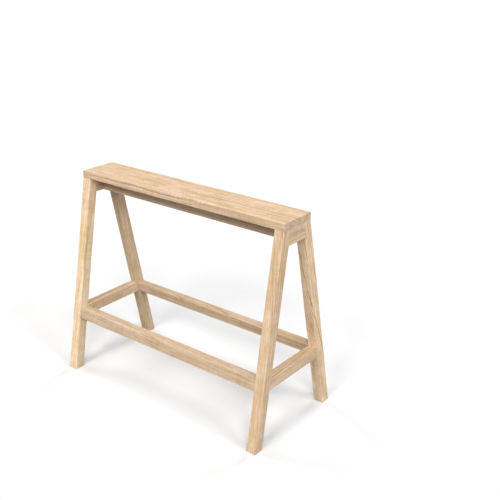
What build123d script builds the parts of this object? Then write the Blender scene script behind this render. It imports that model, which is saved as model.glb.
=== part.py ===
from build123d import *
import os
from math import atan2, cos, degrees, sin, tan

# A rigid oak trestle. X runs along the top board, -Y is the front, Z is up.
# The origin is on the floor, under the middle of the board. Millimetres.

# ---- Driving dimensions -------------------------------------------------------------

HEIGHT = 720            # floor to the top of the board
BOARD_LENGTH = 868
BOARD_WIDTH = 135
BOARD_THICKNESS = 24
FOOT_SPREAD = 408       # over the outer faces of the front and back feet, at the floor

LEG_WIDTH = 35          # along X
LEG_DEPTH = 34          # square to the splayed face
RAIL_HEIGHT = 35        # all four stretchers
RAIL_MID_Z = 214        # centre line of the stretchers above the floor
APRON_HEIGHT = 52       # end aprons and centre beam
BEAM_THICKNESS = 20

EASED_EDGE = 1.0        # radius sanded onto the long edges and around the feet

DOWEL_DIAMETER = 8
DOWEL_LENGTH = 30
DOWEL_CHAMFER = 0.8
DOWEL_FLUTES = 10
FLUTE_RADIUS = 0.45
DOWEL_FIT = 0.1         # glue line on the radius
DOWEL_END_GAP = 1.0     # glue pocket at each end of a dowel
APRON_DOWEL_PITCH = 26  # between the two dowels of an apron or beam joint
RAIL_DOWEL_PITCH = 17   # between the two dowels of a stretcher joint
LONG_DOWEL_INSET = 10.5 # from the legs' outer face, to miss the end stretchers' dowels

SCREW_DIAMETER = 4.5
SCREW_ROOT_DIAMETER = 3.0
SCREW_LENGTH = 45       # under the head
SCREW_POINT = 5
SCREW_THREAD_LENGTH = 27
SCREW_THREAD_PITCH = 2.0
SCREW_HEAD_DIAMETER = 8.4
SCREW_HEAD_HEIGHT = 2.6
SCREW_HEAD_RIM = 1.2    # straight side of the head below its dome
SCREW_DOME_RADIUS = 7.0
SCREW_SLOT_WIDTH = 1.2
SCREW_SLOT_DEPTH = 1.6
SCREW_SLOT_LENGTH = 4.6
SCREW_FIT = 0.1         # clearance on the radius around the thread and the shank
COUNTERBORE_DIAMETER = 9.5
COUNTERBORE_DEPTH = 22
PILOT_END_GAP = 1.0
BEAM_SCREW_X = (-330, -110, 110, 330)
APRON_SCREW_Y = (-13, 13)

# ---- Derived dimensions -------------------------------------------------------------

LEG_TOP = HEIGHT - BOARD_THICKNESS
SPLAY = atan2((FOOT_SPREAD - BOARD_WIDTH) / 2, LEG_TOP)
LEG_LEVEL_DEPTH = LEG_DEPTH / cos(SPLAY)
APRON_BOTTOM = LEG_TOP - APRON_HEIGHT
APRON_MID_Z = LEG_TOP - APRON_HEIGHT / 2
RAIL_TOP = RAIL_MID_Z + RAIL_HEIGHT / 2
RAIL_BOTTOM = RAIL_MID_Z - RAIL_HEIGHT / 2
END_X = BOARD_LENGTH / 2
LEG_INNER_X = END_X - LEG_WIDTH
LEG_MID_X = END_X - LEG_WIDTH / 2

ENDS = {"left": -1, "right": 1}
SIDES = {"front": -1, "back": 1}


def outer_y(z):
    """Distance of the legs' outer faces from the centre plane at height z."""
    return BOARD_WIDTH / 2 + (LEG_TOP - z) * tan(SPLAY)


def inner_y(z):
    """Distance of the legs' inner faces from the centre plane at height z."""
    return outer_y(z) - LEG_LEVEL_DEPTH


# ---- Shared shapes ------------------------------------------------------------------

def bar(outline, x_start, x_end):
    """Solid that runs along X, with its outline given as (y, z) points."""
    section = Plane.YZ.offset(x_start) * make_face(Polyline(*outline, close=True))
    return extrude(section, x_end - x_start)


def ease_along(solid, axis):
    """Round the edges of a bar that run along an axis."""
    return fillet(solid.edges().filter_by(axis), EASED_EDGE)


def dowel_place(x, y, z, direction):
    """Where a dowel sits: the middle of its length is on the joint's face."""
    return Plane(origin=(x, y, z), z_dir=direction).location


def bores(places):
    """The holes for dowels, each half in one member and half in the other."""
    radius = DOWEL_DIAMETER / 2 + DOWEL_FIT
    length = DOWEL_LENGTH + 2 * DOWEL_END_GAP
    return [place * Cylinder(radius, length) for place in places]


def dowel():
    """Fluted dowel, chamfered at both ends."""
    blank = Cylinder(DOWEL_DIAMETER / 2, DOWEL_LENGTH)
    blank = chamfer(blank.edges().filter_by(GeomType.CIRCLE), DOWEL_CHAMFER)
    flutes = PolarLocations(DOWEL_DIAMETER / 2, DOWEL_FLUTES)
    return blank - [place * Cylinder(FLUTE_RADIUS, DOWEL_LENGTH) for place in flutes]


def group(solids):
    """Separate solids that share one node."""
    return Compound(children=list(solids))


# ---- Dowel places -------------------------------------------------------------------

def leg_face_dowels(end, side, mid_z, pitch):
    """Two dowels square to a leg's inner face, in the middle of the leg's width."""
    normal = (0, side * cos(SPLAY), -sin(SPLAY))
    heights = (mid_z - pitch / 2, mid_z + pitch / 2)
    return [dowel_place(end * LEG_MID_X, side * inner_y(z), z, normal) for z in heights]


def apron_dowels(end, side):
    return leg_face_dowels(end, side, APRON_MID_Z, APRON_DOWEL_PITCH)


def end_stretcher_dowels(end, side):
    return leg_face_dowels(end, side, RAIL_MID_Z, RAIL_DOWEL_PITCH)


def long_stretcher_dowels(end, side):
    """Two dowels along X, near the leg's outer face."""
    inset = LONG_DOWEL_INSET / cos(SPLAY)
    heights = (RAIL_MID_Z - RAIL_DOWEL_PITCH / 2, RAIL_MID_Z + RAIL_DOWEL_PITCH / 2)
    return [dowel_place(end * LEG_INNER_X, side * (outer_y(z) - inset), z, (1, 0, 0))
            for z in heights]


def beam_dowels(end):
    """Two dowels along X, between the beam's end and an apron."""
    heights = (APRON_MID_Z - APRON_DOWEL_PITCH / 2, APRON_MID_Z + APRON_DOWEL_PITCH / 2)
    return [dowel_place(end * LEG_INNER_X, 0, z, (1, 0, 0)) for z in heights]


# ---- Screws -------------------------------------------------------------------------

def screw():
    """Round-head wood screw that points up, with the underside of its head at Z = 0.

    The thread is a row of rings: each ring has the real pitch, root and crest.
    """
    crest, root = SCREW_DIAMETER / 2, SCREW_ROOT_DIAMETER / 2
    head = SCREW_HEAD_DIAMETER / 2
    thread_start = SCREW_LENGTH - SCREW_THREAD_LENGTH
    ring_count = int((SCREW_THREAD_LENGTH - SCREW_POINT) / SCREW_THREAD_PITCH)
    flank = SCREW_THREAD_PITCH / 4

    outline = [(head, -SCREW_HEAD_RIM), (head, 0), (crest, 0), (crest, thread_start)]
    for ring in range(ring_count):
        ring_start = thread_start + ring * SCREW_THREAD_PITCH
        ring_end = ring_start + SCREW_THREAD_PITCH
        outline += [(root, ring_start + flank), (root, ring_end - flank), (crest, ring_end)]
    outline += [(root, ring_end + flank), (0, SCREW_LENGTH), (0, -SCREW_HEAD_HEIGHT)]
    dome = RadiusArc(outline[-1], outline[0], -SCREW_DOME_RADIUS)
    profile = make_face([Polyline(*outline), dome])

    body = revolve(Plane.XZ * profile, Axis.Z)
    slot_z = -SCREW_HEAD_HEIGHT + SCREW_SLOT_DEPTH / 2
    slot = Pos(0, 0, slot_z) * Box(SCREW_SLOT_LENGTH, SCREW_SLOT_WIDTH, SCREW_SLOT_DEPTH)
    return body - slot - Rot(0, 0, 90) * slot


def screw_places(points):
    """Screw positions, with the heads seated at the bottom of the counterbores."""
    return [Pos(x, y, APRON_BOTTOM + COUNTERBORE_DEPTH) for x, y in points]


def screw_holes(places):
    """Counterbore, clearance hole and pilot hole for each screw."""
    hole_radius = SCREW_DIAMETER / 2 + SCREW_FIT
    hole_length = SCREW_LENGTH + PILOT_END_GAP
    from_below = (Align.CENTER, Align.CENTER, Align.MIN)
    from_above = (Align.CENTER, Align.CENTER, Align.MAX)
    cutters = []
    for place in places:
        cutters.append(place * Cylinder(hole_radius, hole_length, align=from_below))
        cutters.append(place * Cylinder(COUNTERBORE_DIAMETER / 2, COUNTERBORE_DEPTH,
                                        align=from_above))
    return cutters


BEAM_SCREWS = screw_places([(x, 0) for x in BEAM_SCREW_X])
APRON_SCREWS = {name: screw_places([(end * LEG_MID_X, y) for y in APRON_SCREW_Y])
                for name, end in ENDS.items()}


# ---- Timber pieces ------------------------------------------------------------------

def top_board():
    board = Pos(0, 0, HEIGHT - BOARD_THICKNESS / 2) * Box(
        BOARD_LENGTH, BOARD_WIDTH, BOARD_THICKNESS)
    board = fillet(board.edges(), EASED_EDGE)
    return board - screw_holes(BEAM_SCREWS + APRON_SCREWS["left"] + APRON_SCREWS["right"])


def leg(end, side):
    outline = [(side * outer_y(0), 0), (side * inner_y(0), 0),
               (side * inner_y(LEG_TOP), LEG_TOP), (side * outer_y(LEG_TOP), LEG_TOP)]
    x_start, x_end = sorted((end * LEG_INNER_X, end * END_X))
    post = bar(outline, x_start, x_end)
    top_edges = post.faces().sort_by(Axis.Z)[-1].edges()
    post = fillet(post.edges() - top_edges, EASED_EDGE)
    places = (apron_dowels(end, side) + end_stretcher_dowels(end, side)
              + long_stretcher_dowels(end, side))
    return post - bores(places)


def end_rail(end, bottom, top):
    """Piece between the front and back leg of one end, its ends cut to the splay."""
    outline = [(-inner_y(bottom), bottom), (inner_y(bottom), bottom),
               (inner_y(top), top), (-inner_y(top), top)]
    x_start, x_end = sorted((end * LEG_INNER_X, end * END_X))
    return ease_along(bar(outline, x_start, x_end), Axis.Y)


def end_apron(name, end):
    places = apron_dowels(end, -1) + apron_dowels(end, 1) + beam_dowels(end)
    apron = end_rail(end, APRON_BOTTOM, LEG_TOP)
    return apron - bores(places) - screw_holes(APRON_SCREWS[name])


def end_stretcher(end):
    places = end_stretcher_dowels(end, -1) + end_stretcher_dowels(end, 1)
    return end_rail(end, RAIL_BOTTOM, RAIL_TOP) - bores(places)


def long_stretcher(side):
    outline = [(side * outer_y(RAIL_BOTTOM), RAIL_BOTTOM),
               (side * inner_y(RAIL_BOTTOM), RAIL_BOTTOM),
               (side * inner_y(RAIL_TOP), RAIL_TOP),
               (side * outer_y(RAIL_TOP), RAIL_TOP)]
    rail = ease_along(bar(outline, -LEG_INNER_X, LEG_INNER_X), Axis.X)
    return rail - bores(long_stretcher_dowels(-1, side) + long_stretcher_dowels(1, side))


def centre_beam():
    half = BEAM_THICKNESS / 2
    outline = [(-half, APRON_BOTTOM), (half, APRON_BOTTOM), (half, LEG_TOP), (-half, LEG_TOP)]
    beam = ease_along(bar(outline, -LEG_INNER_X, LEG_INNER_X), Axis.X)
    return beam - bores(beam_dowels(-1) + beam_dowels(1)) - screw_holes(BEAM_SCREWS)


# ---- The assembly -------------------------------------------------------------------

nodes = {"top_board": top_board(), "centre_beam": centre_beam()}
pin = dowel()

for end_name, end in ENDS.items():
    nodes[f"end_apron_{end_name}"] = end_apron(end_name, end)
    nodes[f"end_stretcher_{end_name}"] = end_stretcher(end)
    for side_name, side in SIDES.items():
        nodes[f"leg_{side_name}_{end_name}"] = leg(end, side)
    nodes[f"apron_dowels_{end_name}"] = group(
        place * pin for side in SIDES.values() for place in apron_dowels(end, side))
    nodes[f"end_stretcher_dowels_{end_name}"] = group(
        place * pin for side in SIDES.values() for place in end_stretcher_dowels(end, side))

for side_name, side in SIDES.items():
    nodes[f"long_stretcher_{side_name}"] = long_stretcher(side)
    nodes[f"long_stretcher_dowels_{side_name}"] = group(
        place * pin for end in ENDS.values() for place in long_stretcher_dowels(end, side))

nodes["centre_beam_dowels"] = group(
    place * pin for end in ENDS.values() for place in beam_dowels(end))

fixing = screw()
nodes["beam_screws"] = group(place * fixing for place in BEAM_SCREWS)
nodes["apron_screws"] = group(
    place * fixing for places in APRON_SCREWS.values() for place in places)

os.makedirs("parts", exist_ok=True)
for name, solid in nodes.items():
    export_step(solid, f"parts/{name}.step")
print(f"{len(nodes)} nodes, legs splayed {degrees(SPLAY):.1f} degrees")
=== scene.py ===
import math

import bpy
from mathutils import Matrix, Vector


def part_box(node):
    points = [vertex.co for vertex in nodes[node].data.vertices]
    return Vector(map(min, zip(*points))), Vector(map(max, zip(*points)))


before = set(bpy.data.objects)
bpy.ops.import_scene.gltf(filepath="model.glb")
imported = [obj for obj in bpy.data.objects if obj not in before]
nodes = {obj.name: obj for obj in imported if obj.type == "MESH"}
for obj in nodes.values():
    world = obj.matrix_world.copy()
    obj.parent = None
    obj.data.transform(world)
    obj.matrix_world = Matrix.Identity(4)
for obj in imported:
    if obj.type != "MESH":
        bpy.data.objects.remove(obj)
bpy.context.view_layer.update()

MM = 0.001
WHITE = (1.0, 1.0, 1.0)


# ---- Small node-tree helper -------------------------------------------------------------

class Tree:
    """Builds shader nodes. Every method but node, feed and separate gives one output socket."""

    def __init__(self, node_tree):
        self.tree = node_tree

    def node(self, kind, inputs=(), **settings):
        made = self.tree.nodes.new(kind)
        for name, value in settings.items():
            setattr(made, name, value)
        for key, value in dict(inputs).items():
            self.feed(made.inputs[key], value)
        return made

    def feed(self, socket, value):
        if isinstance(value, bpy.types.NodeSocket):
            self.tree.links.new(value, socket)
        else:
            socket.default_value = value

    def math(self, operation, a, b=None, c=None, clamp=False):
        inputs = {i: v for i, v in enumerate((a, b, c)) if v is not None}
        return self.node("ShaderNodeMath", inputs, operation=operation,
                         use_clamp=clamp).outputs[0]

    def vector(self, operation, a, b=None):
        inputs = {i: v for i, v in enumerate((a, b)) if v is not None}
        made = self.node("ShaderNodeVectorMath", inputs, operation=operation)
        return made.outputs["Value" if operation in ("DOT_PRODUCT", "LENGTH") else "Vector"]

    def combine(self, x, y, z):
        return self.node("ShaderNodeCombineXYZ", {0: x, 1: y, 2: z}).outputs[0]

    def separate(self, vector):
        return self.node("ShaderNodeSeparateXYZ", {0: vector}).outputs

    def place(self):
        return self.node("ShaderNodeTexCoord").outputs["Object"]

    def noise(self, vector, scale=1.0, detail=2.0, roughness=0.5, w=None):
        """Values round 0.5; w picks another pattern."""
        inputs = {"Vector": vector, "Scale": scale, "Detail": detail, "Roughness": roughness}
        if w is None:
            return self.node("ShaderNodeTexNoise", inputs).outputs[0]
        return self.node("ShaderNodeTexNoise", inputs | {"W": w},
                         noise_dimensions="4D").outputs[0]

    def step(self, value, low, high):
        """0 at low, 1 at high, smooth between; low may be above high."""
        return self.node("ShaderNodeMapRange", {"Value": value, 1: low, 2: high},
                         interpolation_type="SMOOTHSTEP").outputs[0]

    def remap(self, value, low, high, to_low, to_high):
        return self.node("ShaderNodeMapRange",
                         {"Value": value, 1: low, 2: high, 3: to_low, 4: to_high}).outputs[0]

    def mix(self, factor, a, b, blend="MIX"):
        made = self.node("ShaderNodeMix", data_type="RGBA", blend_type=blend)
        colours = [s for s in made.inputs if s.type == "RGBA"]
        self.feed(made.inputs[0], factor)
        self.feed(colours[0], a)
        self.feed(colours[1], b)
        return next(s for s in made.outputs if s.type == "RGBA")

    def bump(self, height, distance):
        return self.node("ShaderNodeBump", {"Height": height, "Distance": distance}).outputs[0]


class Finish(Tree):
    """A new material, with a Principled shader on its output."""

    def __init__(self, name):
        self.material = bpy.data.materials.new(name)
        self.material.use_nodes = True
        self.material.node_tree.nodes.clear()
        super().__init__(self.material.node_tree)
        self.shader = self.node("ShaderNodeBsdfPrincipled")
        self.output = self.node("ShaderNodeOutputMaterial", {"Surface": self.shader.outputs[0]})

    def surface(self, values):
        """Feeds the shader's sockets, by name, with links or plain values."""
        for name, value in values.items():
            self.feed(self.shader.inputs[name], value)

    def paint(self, obj):
        obj.data.materials.clear()
        obj.data.materials.append(self.material)


def srgb(red, green, blue):
    """A colour given as it looks on a screen, 0 to 255, as the linear colour of a shader."""
    def linear(value):
        value /= 255
        return value / 12.92 if value <= 0.04045 else ((value + 0.055) / 1.055) ** 2.4
    return (linear(red), linear(green), linear(blue), 1.0)


# ---- Oak ----------------------------------------------------------------------------------

OAK_COLOUR = (0.705, 0.535, 0.377)       # linear, before a member's tint, the stains and the painted arris highlight
BEND, WAVE, RIPPLE = 26.0, 7.0, 1.4      # mm that the rings are pushed about, broad to fine
RING_SPREAD = 2.2                        # rings by which their even spacing is disturbed
END_GRAIN_FROM, END_GRAIN_FULL = 0.8, 0.97   # cosine of a face's angle to the grain
ARRIS_HIGHLIGHT_FROM, ARRIS_HIGHLIGHT_FULL = 2.6, 0.9        # mm from the two faces that meet there: the band of the painted highlight along each arris
RAYS_IN_MM = (0.9, 0.05, 0.06)           # repeats round the tree, out from it and along it


def oak_group():
    """Solid oak in millimetres, with the grain along the third axis of its Vector.

    Rings are worked out from a pith beside the member, so faces, edges and end grain agree.
    """
    group = bpy.data.node_groups.new("oak", "ShaderNodeTree")
    numbers = ("Pith across", "Pith deep", "Slope", "Ring width", "Seed", "End grain", "Arris highlight")
    for name, way, kind in (("Vector", "INPUT", "NodeSocketVector"),
                            ("Tint", "INPUT", "NodeSocketColor"),
                            *((name, "INPUT", "NodeSocketFloat") for name in numbers),
                            ("Color", "OUTPUT", "NodeSocketColor"),
                            ("Roughness", "OUTPUT", "NodeSocketFloat"),
                            ("Height", "OUTPUT", "NodeSocketFloat")):
        group.interface.new_socket(name, in_out=way, socket_type=kind)
    t = Tree(group)
    given = t.node("NodeGroupInput").outputs
    seed = given["Seed"]

    def stretched(across, along):
        """The place, scaled so that a noise on it repeats over these lengths in mm."""
        return t.vector("MULTIPLY", given["Vector"], (1 / across, 1 / across, 1 / along))

    def other_seed(step):
        return t.math("ADD", seed, step)

    def weighted_sum(start, *terms):
        """start plus each value times its weight."""
        total = start
        for value, weight in terms:
            total = t.math("MULTIPLY_ADD", value, weight, total)
        return total

    # Distance from the pith, bent slowly along the member as a tree grows.
    u, v, w = t.separate(given["Vector"])
    lean = t.math("MULTIPLY", w, given["Slope"])
    du = t.math("ADD", t.math("SUBTRACT", u, given["Pith across"]), lean)
    dv = t.math("ADD", t.math("SUBTRACT", v, given["Pith deep"]), lean)
    straight = t.vector("LENGTH", t.combine(du, dv, 0.0))
    radius = weighted_sum(straight,
                          (t.noise(stretched(150, 420), detail=1, w=seed), BEND),
                          (t.noise(stretched(30, 120), detail=2, w=seed), WAVE),
                          (t.noise(stretched(5, 30), detail=2, w=seed), RIPPLE))

    # Rings: a porous early band that fades into dense late wood. A few rings stand out.
    even = t.math("DIVIDE", radius, given["Ring width"])
    uneven = t.noise(t.combine(even, 0.0, seed), scale=0.35, detail=1)
    turns = weighted_sum(even, (uneven, RING_SPREAD))
    phase = t.math("FRACT", turns)
    number = t.math("FLOOR", turns)
    tone = t.node("ShaderNodeTexWhiteNoise", {"Vector": t.combine(number, seed, 0.0)},
                  noise_dimensions="3D").outputs["Value"]
    early = t.math("MULTIPLY", t.step(phase, 0.0, 0.08), t.step(phase, 0.65, 0.15))
    late = t.step(phase, 0.45, 0.98)
    strong = t.math("MULTIPLY_ADD", t.math("POWER", tone, 3.0), 0.85, 0.15)
    fade = t.remap(t.noise(stretched(14, 90), detail=1, w=seed), 0.3, 0.6, 0.35, 1.0)
    line = t.math("MULTIPLY", t.math("MULTIPLY", early, strong), fade)

    # Vessels: dashes along the grain and dots on end grain, most of them in the early band.
    vessel_noise = t.noise(stretched(0.45, 9.0), detail=1, roughness=0.4, w=seed)
    needed = t.remap(early, 0.0, 1.0, 0.70, 0.55)
    vessel = t.step(t.math("SUBTRACT", vessel_noise, needed), 0.0, 0.06)

    # Rays: thin sheets that run out from the pith.
    arc = t.math("MULTIPLY", t.math("ARCTAN2", dv, du), straight)
    sheets = t.vector("MULTIPLY", t.combine(arc, radius, w), RAYS_IN_MM)
    ray = t.step(t.noise(sheets, detail=1, roughness=0.5, w=seed), 0.63, 0.72)

    # Fibre, streaks and threads run along the grain, and curl crosses it. Flakes are short
    # patches, pale or dark. Cloud and grey are the broad changes of a board.
    fibre = t.noise(stretched(1.6, 45), detail=4, roughness=0.7, w=seed)
    streak = t.noise(stretched(8, 260), detail=2, roughness=0.55, w=seed)
    thread = t.noise(stretched(7, 700), detail=2, roughness=0.6, w=other_seed(20.0))
    flake = t.noise(stretched(28, 70), detail=3, roughness=0.55, w=other_seed(60.0))
    curl = t.noise(stretched(34, 13), detail=1, w=seed)
    cloud = t.noise(stretched(32, 130), detail=2, w=other_seed(40.0))
    grey = t.noise(stretched(18, 80), detail=2, w=other_seed(80.0))

    # Each stain, and the painted highlight on the arrises, multiplies the colour, where its mask is
    # and as much as its amount says.
    colour = given["Tint"]
    for mask, amount, stain_and_highlight in (
            (t.step(cloud, 0.38, 0.62), 0.70, (0.99, 0.95, 0.90)),
            (t.step(cloud, 0.56, 0.34), 0.60, (1.04, 1.04, 0.99)),
            (t.step(grey, 0.46, 0.70), 0.70, (0.93, 0.915, 0.93)),
            (t.step(streak, 0.60, 0.36), 0.70, (0.88, 0.85, 0.77)),
            (t.step(streak, 0.46, 0.68), 0.60, (1.07, 1.10, 1.15)),
            (t.step(thread, 0.45, 0.34), 0.75, (0.88, 0.84, 0.77)),
            (t.step(flake, 0.49, 0.58), 0.95, (1.06, 1.08, 1.16)),
            (t.step(flake, 0.47, 0.36), 0.80, (0.93, 0.92, 0.87)),
            (t.step(curl, 0.60, 0.34), 0.85, (0.93, 0.915, 0.89)),
            (tone, 0.40, (0.93, 0.90, 0.86)),
            (late, 0.35, (0.95, 0.93, 0.90)),
            (line, 0.95, (0.54, 0.43, 0.32)),
            (t.step(fibre, 0.54, 0.34), 0.70, (0.82, 0.77, 0.69)),
            (t.step(fibre, 0.54, 0.70), 0.60, (1.08, 1.10, 1.14)),
            (ray, 0.70, (1.09, 1.12, 1.18)),
            (vessel, 0.75, (0.55, 0.44, 0.34)),
            (given["End grain"], 1.0, (0.97, 0.99, 1.10)),
            # Painted highlight: the arrises are made paler, as where light catches an eased edge.
            (given["Arris highlight"], 0.40, (1.07, 1.09, 1.12))):
        marked_colour = t.mix(1.0, colour, (*stain_and_highlight, 1.0), "MULTIPLY")
        colour = t.mix(t.math("MULTIPLY", mask, amount), colour, marked_colour)

    rough = weighted_sum(0.48, (early, 0.08), (fibre, 0.12), (ray, -0.12), (vessel, 0.18))
    rough = t.math("MULTIPLY_ADD", given["End grain"], 0.15, rough, clamp=True)
    height_mm = weighted_sum(0.5, (vessel, -0.16), (early, -0.035), (fibre, 0.05), (ray, 0.012))

    end = t.node("NodeGroupOutput")
    for name, socket in (("Color", colour), ("Roughness", rough), ("Height", height_mm)):
        t.feed(end.inputs[name], socket)
    return group


OAK = oak_group()
X, Y = Vector((1, 0, 0)), Vector((0, 1, 0))


def leg_line(node):
    """Direction of a splayed leg, from the middle of its foot to the middle of its top."""
    low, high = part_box(node)
    ends = []
    for level in (low.z, high.z):
        rim = [v.co for v in nodes[node].data.vertices if abs(v.co.z - level) < 2 * MM]
        ends.append((min(p.y for p in rim) + max(p.y for p in rim)) / 2)
    return Vector((0, ends[1] - ends[0], high.z - low.z)).normalized()


def member_axes(node):
    """Unit axes of a member: across its face, deep into it, along the grain."""
    if node.startswith("leg_"):
        across, grain = X, leg_line(node)
    elif node.startswith("end_"):
        across, grain = X, Y
    else:
        across, grain = Y, X
    return across, grain.cross(across), grain


def section(node, across, deep):
    """Half of a member's width and depth, in mm. A leg is nearly square, and its box is deeper
    than the leg because it splays, so its width stands for both."""
    low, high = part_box(node)
    width, depth = (sum(abs(a * s) for a, s in zip(axis, high - low)) / 2 / MM
                    for axis in (across, deep))
    return (width, width) if node.startswith("leg_") else (width, depth)


def oak(node, pith, ring, seed, tint=WHITE, slope=0.02):
    """Gives a member its own piece of oak.

    pith is where the tree's middle lies and ring how far apart its rings are, in mm. slope is
    how far the rings run out of the member, for each unit along it.
    """
    finish = Finish("oak_" + node)
    across, deep, grain = member_axes(node)
    low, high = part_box(node)
    from_middle = finish.vector("SUBTRACT", finish.place(), (low + high) / 2)
    local = [finish.vector("DOT_PRODUCT", from_middle, axis / MM)
             for axis in (across, deep, grain)]

    normal = finish.node("ShaderNodeNewGeometry").outputs["Normal"]
    facing = finish.math("ABSOLUTE", finish.vector("DOT_PRODUCT", normal, grain))
    end_grain = finish.step(facing, END_GRAIN_FROM, END_GRAIN_FULL)
    # Masks for the painted highlight along the arrises.
    near = [finish.step(finish.math("ABSOLUTE", place), half - ARRIS_HIGHLIGHT_FROM, half - ARRIS_HIGHLIGHT_FULL)
            for place, half in zip(local, section(node, across, deep))]
    colour = [base * part for base, part in zip(OAK_COLOUR, tint)] + [1.0]

    wood = finish.node("ShaderNodeGroup", node_tree=OAK)
    for name, value in (("Vector", finish.combine(*local)), ("Tint", colour),
                        ("Pith across", pith[0]), ("Pith deep", pith[1]), ("Slope", slope),
                        ("Ring width", ring), ("Seed", seed), ("End grain", end_grain),
                        ("Arris highlight", finish.math("MULTIPLY", *near))):
        finish.feed(wood.inputs[name], value)
    finish.surface({"Base Color": wood.outputs["Color"],
                    "Roughness": wood.outputs["Roughness"],
                    "Normal": finish.bump(wood.outputs["Height"], MM),
                    "Specular IOR Level": 0.35})
    finish.paint(nodes[node])


oak("top_board", pith=(104, -80), ring=5.2, seed=1.0)
# The beam's tint is painted shade: it is darkened for the shadow under the board.
oak("centre_beam", pith=(60, 20), ring=3.6, seed=2.0, tint=(0.83, 0.84, 0.88))
oak("end_apron_left", pith=(-30, 48), ring=4.0, seed=3.0)
oak("end_apron_right", pith=(-30, 48), ring=4.0, seed=4.0, tint=(1.08, 1.10, 1.09))
oak("end_stretcher_left", pith=(40, 30), ring=3.6, seed=5.0, tint=(1.05, 1.05, 1.04))
oak("end_stretcher_right", pith=(40, 30), ring=3.6, seed=6.0, tint=(1.06, 1.07, 1.05))
oak("long_stretcher_front", pith=(-30, -42), ring=4.0, seed=7.0, tint=(0.88, 0.89, 0.90), slope=0.03)
# The back stretcher's tint is painted shade: it is darkened for the shade inside the frame.
oak("long_stretcher_back", pith=(-30, -42), ring=4.0, seed=8.0, tint=(0.84, 0.84, 0.83), slope=0.03)
oak("leg_front_left", pith=(62, 66), ring=4.2, seed=9.0, tint=(1.27, 1.32, 1.30), slope=-0.07)
oak("leg_front_right", pith=(62, 66), ring=4.2, seed=10.0, tint=(1.06, 1.05, 1.02), slope=0.05)
oak("leg_back_left", pith=(62, 66), ring=4.2, seed=11.0, tint=(1.0, 1.02, 1.02), slope=-0.06)
oak("leg_back_right", pith=(62, 66), ring=4.2, seed=12.0, tint=(1.26, 1.28, 1.26), slope=0.07)


# ---- Dowels and screws --------------------------------------------------------------------

def repeating(finish, x, y, z):
    """The place, scaled so that a noise on it repeats this often in a metre."""
    return finish.vector("MULTIPLY", finish.place(), (x, y, z))


def beech():
    """Even beech with fine dark flecks."""
    finish = Finish("beech")
    fleck = finish.noise(repeating(finish, 1500, 1500, 1500), w=3.0)
    cloud = finish.noise(repeating(finish, 90, 90, 90), w=4.0)
    colour = finish.mix(cloud, srgb(205, 165, 124), srgb(226, 192, 152))
    flecked = finish.math("MULTIPLY", finish.step(fleck, 0.58, 0.7), 0.5)
    finish.surface({"Base Color": finish.mix(flecked, colour, srgb(164, 118, 80)),
                    "Roughness": finish.remap(fleck, 0, 1, 0.55, 0.75),
                    "Normal": finish.bump(fleck, 0.05 * MM)})
    return finish


def zinc():
    """Yellow zinc plate, a little cloudy, with scratches."""
    finish = Finish("yellow_zinc")
    cloud = finish.noise(repeating(finish, 300, 300, 300), detail=3, w=5.0)
    scratch = finish.noise(repeating(finish, 4000, 900, 900), w=6.0)
    colour = finish.mix(finish.step(cloud, 0.35, 0.65), srgb(206, 184, 128), srgb(188, 178, 160))
    finish.surface({"Base Color": colour,
                    "Roughness": finish.remap(scratch, 0, 1, 0.25, 0.5),
                    "Normal": finish.bump(scratch, 0.02 * MM),
                    "Metallic": 1.0})
    return finish


BEECH, ZINC = beech(), zinc()
for name, piece in nodes.items():
    if "dowels" in name:
        BEECH.paint(piece)
    if "screws" in name:
        ZINC.paint(piece)


# ---- Studio -------------------------------------------------------------------------------

FLOOR_REACH = 60.0            # to each edge of the floor
FLOOR_GAP = 0.3 * MM          # below the feet, so that their soles catch the light from below
FLOOR_SHOWN = 0.735           # how pale the camera sees it
FLOOR_SENDS_BACK = 0.33       # how much light the trestle gets from it

SUN_SPREAD = 24               # degrees over which each light is spread
WARM = (1.0, 0.985, 0.95)
COOL = (0.98, 1.0, 1.07)

CAMERA_PLACE = (1.7145, -1.8389, 1.5371)
CAMERA_TURN = 38.45           # degrees round the trestle from its front
CAMERA_PITCH = 22.32          # degrees below level
CAMERA_ROLL = -0.16
SENSOR = 36.0                 # mm, as the lens
LENS = 58.536


def floor():
    """A white floor that can't be seen from below and lets light through from there. What it
    sends back up to the trestle is weaker than what it shows, so that the beam stays dark."""
    corners = ((-1, -1), (1, -1), (1, 1), (-1, 1))
    mesh = bpy.data.meshes.new("floor")
    mesh.from_pydata([(x * FLOOR_REACH, y * FLOOR_REACH, -FLOOR_GAP) for x, y in corners],
                     [], [(0, 1, 2, 3)])
    made = bpy.data.objects.new("floor", mesh)
    made.visible_shadow = False
    bpy.context.scene.collection.objects.link(made)

    finish = Finish("floor")
    seen = finish.node("ShaderNodeLightPath").outputs["Is Camera Ray"]
    shown, sent_back = ((grey, grey, grey, 1) for grey in (FLOOR_SHOWN, FLOOR_SENDS_BACK))
    finish.surface({"Base Color": finish.mix(seen, sent_back, shown),
                    "Roughness": 1.0,
                    "Specular IOR Level": 0.0})
    from_below = finish.node("ShaderNodeNewGeometry").outputs["Backfacing"]
    clear = finish.node("ShaderNodeBsdfTransparent").outputs[0]
    either = finish.node("ShaderNodeMixShader",
                         {0: from_below, 1: finish.shader.outputs[0], 2: clear})
    finish.feed(finish.output.inputs["Surface"], either.outputs[0])
    finish.paint(made)


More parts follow.
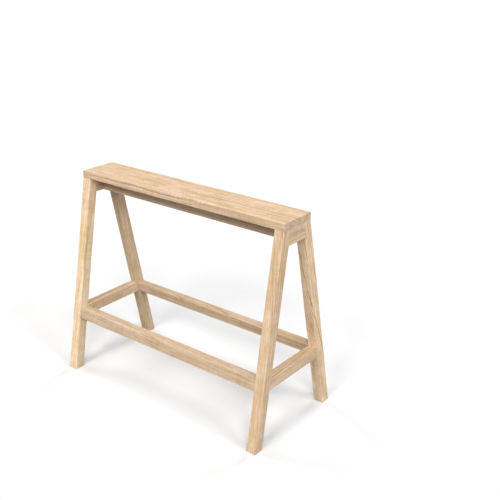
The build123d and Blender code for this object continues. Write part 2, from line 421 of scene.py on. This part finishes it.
def soft_sun(name, azimuth, elevation, share, colour=WHITE):
    """A wide soft light from that direction. share is what it adds to a level surface,
    where 1 would show a white surface as white."""
    a, e = math.radians(azimuth), math.radians(elevation)
    lamp = bpy.data.lights.new(name, "SUN")
    lamp.energy = share * math.pi / abs(math.sin(e))
    lamp.angle = math.radians(SUN_SPREAD)
    lamp.color = colour
    made = bpy.data.objects.new(name, lamp)
    towards = Vector((math.sin(a) * math.cos(e), -math.cos(a) * math.cos(e), math.sin(e)))
    made.rotation_euler = towards.to_track_quat("Z", "Y").to_euler()
    bpy.context.scene.collection.objects.link(made)


def sky(light, seen):
    """Even light from all round, which shows as white behind the floor."""
    world = bpy.data.worlds.new("studio")
    world.use_nodes = True
    world.node_tree.nodes.clear()
    bpy.context.scene.world = world
    t = Tree(world.node_tree)
    camera_ray = t.node("ShaderNodeLightPath").outputs["Is Camera Ray"]
    glow = t.node("ShaderNodeBackground", {"Color": (*WHITE, 1.0),
                                           "Strength": t.remap(camera_ray, 0, 1, light, seen)})
    t.node("ShaderNodeOutputWorld", {"Surface": glow.outputs[0]})


def camera():
    data = bpy.data.cameras.new("camera")
    data.sensor_width = SENSOR
    data.lens = LENS
    made = bpy.data.objects.new("camera", data)
    made.matrix_world = (Matrix.Translation(CAMERA_PLACE)
                         @ Matrix.Rotation(math.radians(CAMERA_TURN), 4, "Z")
                         @ Matrix.Rotation(math.radians(90 - CAMERA_PITCH), 4, "X")
                         @ Matrix.Rotation(math.radians(CAMERA_ROLL), 4, "Z"))
    bpy.context.scene.collection.objects.link(made)
    bpy.context.scene.camera = made


floor()
soft_sun("key_light", azimuth=45, elevation=39, share=0.38)
soft_sun("front_light", azimuth=5, elevation=39, share=0.37, colour=WARM)
soft_sun("right_light", azimuth=92, elevation=40, share=0.24, colour=COOL)
soft_sun("back_light", azimuth=180, elevation=42, share=0.26)
soft_sun("left_light", azimuth=270, elevation=42, share=0.20)
soft_sun("low_light", azimuth=0, elevation=-90, share=0.18)
sky(light=0.03, seen=1.0)
camera()
bpy.context.scene.view_settings.view_transform = "Standard"
